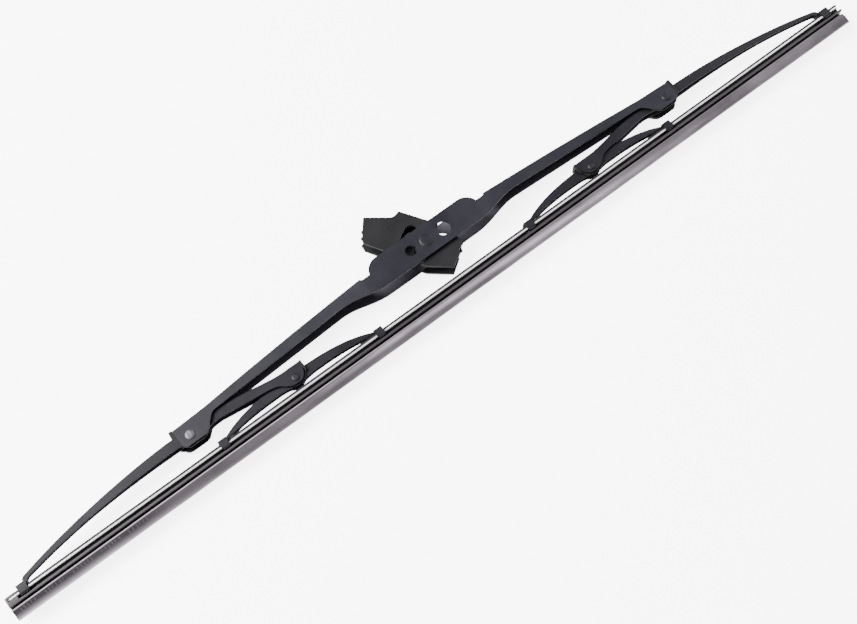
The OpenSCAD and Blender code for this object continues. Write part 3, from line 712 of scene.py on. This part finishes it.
def film_and_sheen_on_wedge(finish, streak, cloud):
    """Share of graphite from 0 to 1, which also carries painted sheen and highlights. At the left
    end it is the 2.5th power of the way down to the lip, a painted sheen that pales towards the
    lip. Further right it is even with clouds, and a painted highlight is added that falls off in
    a straight line beside its crest. The shoulder's top gets at least its own share, a painted
    highlight along it."""
    x, y = finish.axis("X"), finish.axis("Y")
    # Painted sheen: at the left end the wedge is made paler towards the lip.
    lip = finish.ranged(y, HINGE_BOTTOM - 1.9 * MM, STRIP_TIP + 0.6 * MM, 0.24, 0.85)
    lip = finish.maths("POWER", lip, 2.5)
    down = finish.ranged(y, HINGE_BOTTOM, STRIP_TIP)
    # Painted highlight: a pale band whose crest drifts from under the shoulder to the lip along the middle.
    crest = finish.ranged(x, -0.02, 0.10, 0.31, 0.65)
    aside = finish.maths("ABSOLUTE", finish.maths("SUBTRACT", down, crest))
    painted_highlight = finish.maths("MULTIPLY", finish.ranged(aside, 0.0, 0.32, 1.0, 0.0),
                         finish.ranged(x, -0.08, -0.03))
    painted_highlight = finish.maths("MULTIPLY", painted_highlight, finish.ranged(x, -0.02, 0.16, 0.72, 0.0))
    even = finish.maths("ADD", painted_highlight, finish.ranged(x, -0.12, 0.02, 0.14, 0.25))
    even = finish.maths("MULTIPLY", finish.ranged(cloud, 0.32, 0.68, 0.6, 1.4), even)
    film = finish.blended(finish.ranged(x, -0.20, -0.10), lip, even)
    # Painted highlight: a pale line along the shoulder's top at the left end.
    shoulder = finish.ranged(y, HINGE_BOTTOM - 0.75 * MM, HINGE_BOTTOM - 0.5 * MM)
    shoulder = finish.maths("MULTIPLY", shoulder, finish.ranged(x, -0.09, 0.03, 0.7, 0.0))
    film = finish.maths("MAXIMUM", film, shoulder)
    return finish.maths("MULTIPLY", film, finish.ranged(streak, 0.3, 0.7, 0.85, 1.1))


# %% [markdown]
# Above the hinge the film is thin. The groove behind the claws and the top of the cap are
# painted nearly black, which is painted shade, and the cap's top is made dull. The raised marks have one tone.

# %% Rubber with a graphite film
def graphite_rubber(name, raised=None):
    """The wedge's colour follows the film with its painted sheen and highlight, and the body's
    follows the streaks, with painted shade that darkens the groove and the cap's top. With raised given, the whole
    piece has that one colour."""
    finish = Finish(name, bends=True, Specular_IOR_Level=0.3, Sheen_Weight=0.05,
                    Sheen_Roughness=0.4)
    streak = finish.noise(260.0, 5.0, 0.6, finish.stretched((0.06, 1.0, 1.0)))
    cloud = finish.noise(60.0, 5.0, 0.6, finish.stretched((0.5, 1.6, 1.0)))
    if raised:
        finish.shader.inputs["Base Color"].default_value = (*raised, 1.0)
    else:
        y, depth = finish.axis("Y"), finish.maths("ABSOLUTE", finish.axis("Z"))
        wedge = finish.mixed(film_and_sheen_on_wedge(finish, streak, cloud),
                             (0.006, 0.0048, 0.0062), (0.30, 0.262, 0.300))
        body = finish.mixed(finish.ranged(streak, 0.3, 0.7), (0.0105, 0.0088, 0.0104),
                            (0.024, 0.0202, 0.0238))
        # Painted shade: the groove under the rails is made near black.
        groove = finish.maths("MULTIPLY", finish.ranged(depth, 2.2 * MM, 2.7 * MM, 1.0, 0.0),
                              finish.ranged(y, RAIL_BOTTOM, RAIL_BOTTOM + 0.2 * MM, 1.0, 0.0))
        body = finish.mixed(groove, body, (0.004, 0.0035, 0.004))
        # Painted shade: the top of the cap is made nearly black.
        body = finish.mixed(finish.ranged(y, *CAP_EDGE), body, (0.006, 0.0050, 0.0060))
        above = finish.ranged(y, HINGE_BOTTOM - 0.1 * MM, HINGE_BOTTOM)
        finish.to("Base Color", finish.mixed(above, wedge, body))
        finish.to("Specular IOR Level", finish.ranged(y, *CAP_EDGE, 0.3, 0.03))
    finish.to("Roughness", finish.ranged(cloud, 0.3, 0.7, 0.42, 0.6))
    finish.bump(streak, 0.02 * MM, 0.5)
    return finish.material


wiper_rubber = graphite_rubber("wiper_rubber")
tick_rubber = graphite_rubber("tick_rubber", raised=(0.085, 0.076, 0.086))
print("rubbers:", wiper_rubber.name, tick_rubber.name)


# %% [markdown]
# The left end is closed by a block in which the slots stop, so that the rails can't slide
# out. It is moulded on, so its corners are rounder than the extrusion's, and the slot shows
# as a dark notch just before the rail's end.

# %% Close the left end
BLOCK_END = -STRIP_END + 4.6 * MM
SLOT_START = -RAIL_END - 0.7 * MM
PROUD = 0.02 * MM          # the block stands out from the strip by this
BLOCK_SIDE = 3.32 * MM
block_outline = [(0.6 * MM, STRIP_TOP + PROUD), (2.6 * MM, STRIP_TOP + PROUD),
                 (BLOCK_SIDE, STRIP_TOP - 0.7 * MM), (BLOCK_SIDE, FLANGE_BOTTOM - PROUD),
                 (0.6 * MM, FLANGE_BOTTOM - PROUD)]
slotted_outline = block_outline[:3] + [
    (BLOCK_SIDE, RAIL_TOP), (RAIL_INNER, RAIL_TOP), (RAIL_INNER, RAIL_BOTTOM),
    (BLOCK_SIDE, RAIL_BOTTOM)] + block_outline[3:]
solid_block = rounded(both_sides(block_outline), [0.35 * MM] * 10, 3)
slotted_block = rounded(both_sides(slotted_outline), [0.06 * MM] * 18, 2)
NOSE_DEPTHS = np.array([0.0, 0.12, 0.35, 0.7]) * MM    # rings of the block's rounded nose
NOSE_SHARES = np.array([0.86, 0.95, 0.99, 1.0])        # and each ring's share of full size
front_grid, front_faces = carried(solid_block, -STRIP_END + NOSE_DEPTHS)
shrink = NOSE_SHARES[:, None]
middle_y = (STRIP_TOP + FLANGE_BOTTOM) / 2
front_grid[:, :, 1] = middle_y + (front_grid[:, :, 1] - middle_y) * shrink
front_grid[:, :, 2] *= shrink
front_grid[-1, :, 0] = SLOT_START
back_grid, back_faces = carried(slotted_block, np.array([SLOT_START, BLOCK_END]))
shift = front_grid.shape[0] * front_grid.shape[1]
end_block = new_piece(
    "end_block", np.vstack([front_grid.reshape(-1, 3), back_grid.reshape(-1, 3)]),
    front_faces + [[v + shift for v in face] for face in back_faces])
print("end block:", round((BLOCK_END + STRIP_END) / MM, 1), "mm long")


# %% [markdown]
# Small slanted ribs stand on the wedge near the closed end, where a mould leaves its marks.
# They are plain ticks in groups, each a low bar laid on the sloping face.

# %% Raise the ticks
def tick(x, length, slant, width=0.22 * MM, height=0.09 * MM):
    """Eight corners of a bar on the wedge's near face. Its foot follows the face, whose z at
    height y is a straight line from WEDGE_TOP to WEDGE_LOW."""
    top_y = HINGE_BOTTOM - 1.0 * MM
    ends = []
    for y, lean in ((top_y, 0.0), (top_y - length, slant)):
        share = (WEDGE_TOP[1] - y) / (WEDGE_TOP[1] - WEDGE_LOW[1])
        z = WEDGE_TOP[0] + (WEDGE_LOW[0] - WEDGE_TOP[0]) * share
        for dx, dz in ((-1.0, -0.1 * MM), (1.0, -0.1 * MM), (0.6, height), (-0.6, height)):
            ends.append([x + lean + dx * width / 2, y, z + dz])
    return ends


rng = np.random.default_rng(7)
TICK_START, TICK_PITCH, TICK_COUNT = -0.2095, 1.55 * MM, 40
GROUP, GAPS = 8, (5, 6)    # of each group of places, the ones that stay empty
tick_points, tick_faces = [], []
for index in range(TICK_COUNT):
    if index % GROUP in GAPS:
        continue
    base = len(tick_points)
    x = TICK_START + index * TICK_PITCH + rng.uniform(-0.15, 0.15) * MM
    tick_points += tick(x, rng.uniform(0.9, 1.5) * MM, rng.uniform(-0.4, 0.5) * MM)
    tick_faces += [[base + v for v in face] for face in (
        (0, 3, 2, 1), (4, 5, 6, 7), (0, 1, 5, 4), (1, 2, 6, 5), (2, 3, 7, 6), (3, 0, 4, 7))]
rubber_ticks = new_piece("rubber_ticks", leaned(np.array(tick_points)), tick_faces)
print("ticks:", len(tick_faces) // 6)


# %% [markdown]
# ## The rails
#
# Two flat strips of spring steel carry the rubber. They are slit from a roll and their edges
# are rolled round and bright. In the photograph they are the brightest line of the blade.
# Where the rubber grips a rail, its corners are painted dark as painted shade, with some graphite.

# %% Draw the rails
def rail_outline(bulge=0.4 * MM, count=13):
    """Flat strip whose outer edge is rolled: z = outer - bulge * (1 - cos a) / (1 - cos A)
    while y follows sin a, for a from A = 65 degrees to -A."""
    limit = math.radians(65)
    a = np.linspace(limit, -limit, count)
    half = (RAIL_TOP - RAIL_BOTTOM) / 2
    y = RAIL_MIDDLE + half * np.sin(a) / math.sin(limit)
    z = RAIL_OUTER - bulge * (1 - np.cos(a)) / (1 - math.cos(limit))
    return np.vstack([[(RAIL_INNER, RAIL_TOP)], np.column_stack([z, y]),
                      [(RAIL_INNER, RAIL_BOTTOM)]])


rail_section = rail_outline()


def rails(name, start, end, tongue=0.0):
    """Both rails of one stretch. The far rail is the near one mirrored about z = 0."""
    near, faces = spanned(rail_section, start, end, 2.5 * MM, tongue)
    far = near * [1, 1, -1]
    count = near.shape[0] * near.shape[1]
    points = np.vstack([near.reshape(-1, 3), far.reshape(-1, 3)])
    return new_piece(name, points, faces + [[v + count for v in face] for face in faces])


# Past this distance from a rail's middle its corners are painted dark: painted shade, with some graphite.
SHADE_AND_SMEAR = (0.26 * MM, 0.42 * MM)    # distance from a rail's middle where the graphite sets in


def bright_steel(name):
    """Steel with fine lines drawn along it. Colour and metallic fall to a dark grey as the
    distance from the rail's middle runs from 0.26 to 0.42 mm: painted shade, with some graphite."""
    finish = Finish(name, bends=True, Anisotropic=0.4)
    drawn = finish.noise(1500.0, 4.0, 0.6, finish.stretched((0.02, 1.0, 1.0)))
    cloud = finish.noise(40.0, 3.0)
    off = finish.maths("ABSOLUTE", finish.maths("SUBTRACT", finish.axis("Y"), RAIL_MIDDLE))
    bright = finish.mixed(finish.ranged(drawn, 0.3, 0.7), (0.88, 0.88, 0.89),
                          (0.98, 0.98, 0.99))
    # Painted shade: the rail's corners beside the rubber fall to a dark grey, with some graphite.
    smear = finish.ranged(off, *SHADE_AND_SMEAR, 0.0, 0.92)
    finish.to("Base Color", finish.mixed(smear, bright, (0.040, 0.035, 0.040)))
    finish.to("Metallic", finish.ranged(off, *SHADE_AND_SMEAR, 0.5, 0.1))
    finish.to("Roughness", finish.ranged(cloud, 0.3, 0.7, 0.14, 0.24))
    finish.bump(drawn, 0.006 * MM, 0.5)
    return finish.material


rail_steel = bright_steel("rail_steel")
rails_left = rails("rails_left", -RAIL_END, -SEAM)
rails_middle = rails("rails_middle", -SEAM, SEAM, tongue=TONGUE)
rails_right = rails("rails_right", SEAM, RAIL_END)
print("rails:", round((RAIL_TOP - RAIL_BOTTOM) / MM, 2), "mm high")


# %% [markdown]
# ## What the strip follows
#
# The side stretches, the end block and the ticks keep their place, with their transforms
# baked into their points. The middle stretch and its rails rise with the strip's own body.

# %% Tie the middle stretch to the strip's body
for piece in (rubber_left, rubber_middle, rubber_right, end_block, rubber_ticks):
    piece.data.materials.append(tick_rubber if piece is rubber_ticks else wiper_rubber)
for piece in (rails_left, rails_middle, rails_right):
    piece.data.materials.append(rail_steel)
for pieces, side, sign in (((rubber_left, rails_left, end_block, rubber_ticks), "left", -1),
                           ((rubber_right, rails_right), "right", 1)):
    for piece in pieces:
        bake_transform(piece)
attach(rubber_middle, "squeegee")
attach(rails_middle, "squeegee")
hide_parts("rubber_strip")
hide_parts("vertebra_near", "vertebra_far")


# %% [markdown]
# ## Floor and light
#
# The photograph was taken on a white sweep under a large soft light, a little behind the
# blade, so faces that look towards the camera's foot fall dark and the floor burns out. A
# glow of the floor's own brings it near white without lights that would wash out the paint.

# %% Lay the floor and hang the lights
def sweep(size, height):
    """Square floor at z = height that reaches size metres to each side."""
    corners = np.array([[-1, -1], [1, -1], [1, 1], [-1, 1]]) * size
    points = np.column_stack([corners, np.full(4, height)])
    floor = new_piece("floor", points, [[0, 1, 2, 3]])
    finish = Finish("floor_white", Roughness=0.9, Specular_IOR_Level=0.1,
                    Emission_Color=(1.0, 0.975, 1.0, 1.0), Emission_Strength=5.2)
    finish.to("Base Color", finish.mixed(finish.noise(3.0), (0.86, 0.85, 0.87),
                                         (0.89, 0.88, 0.90)))
    floor.data.materials.append(finish.material)


def soft_box(name, place, size, power, colour=(1.0, 1.0, 1.0)):
    """Square area light at place that looks at the blade's middle."""
    data = bpy.data.lights.new(name, "AREA")
    data.shape = "SQUARE"
    data.size = size
    data.energy = power
    data.color = colour
    lamp = bpy.data.objects.new(name, data)
    lamp.location = place
    lamp.rotation_euler = (-Vector(place)).to_track_quat("-Z", "Y").to_euler()
    bpy.context.scene.collection.objects.link(lamp)
    print(f"{name}: {power} W from {round(lamp.location.length, 2)} m")


sweep(size=3.0, height=cad_low.z)
soft_box("soft_key", place=(-0.75, 0.55, 1.0), size=0.9, power=95.0, colour=(1.0, 1.0, 0.985))
soft_box("soft_right", place=(1.1, 0.1, 0.9), size=0.8, power=14.0)
world = bpy.data.worlds.new("studio")
world.use_nodes = True
background = world.node_tree.nodes["Background"]
background.inputs["Color"].default_value = (0.96, 0.94, 1.0, 1.0)
background.inputs["Strength"].default_value = 0.3
bpy.context.scene.world = world


# %% [markdown]
# ## Bring the scene up to date
#
# The view layer is updated once more. The dressed part has to stay inside the box of the
# construction.

# %% Update the view layer
bpy.context.view_layer.update()
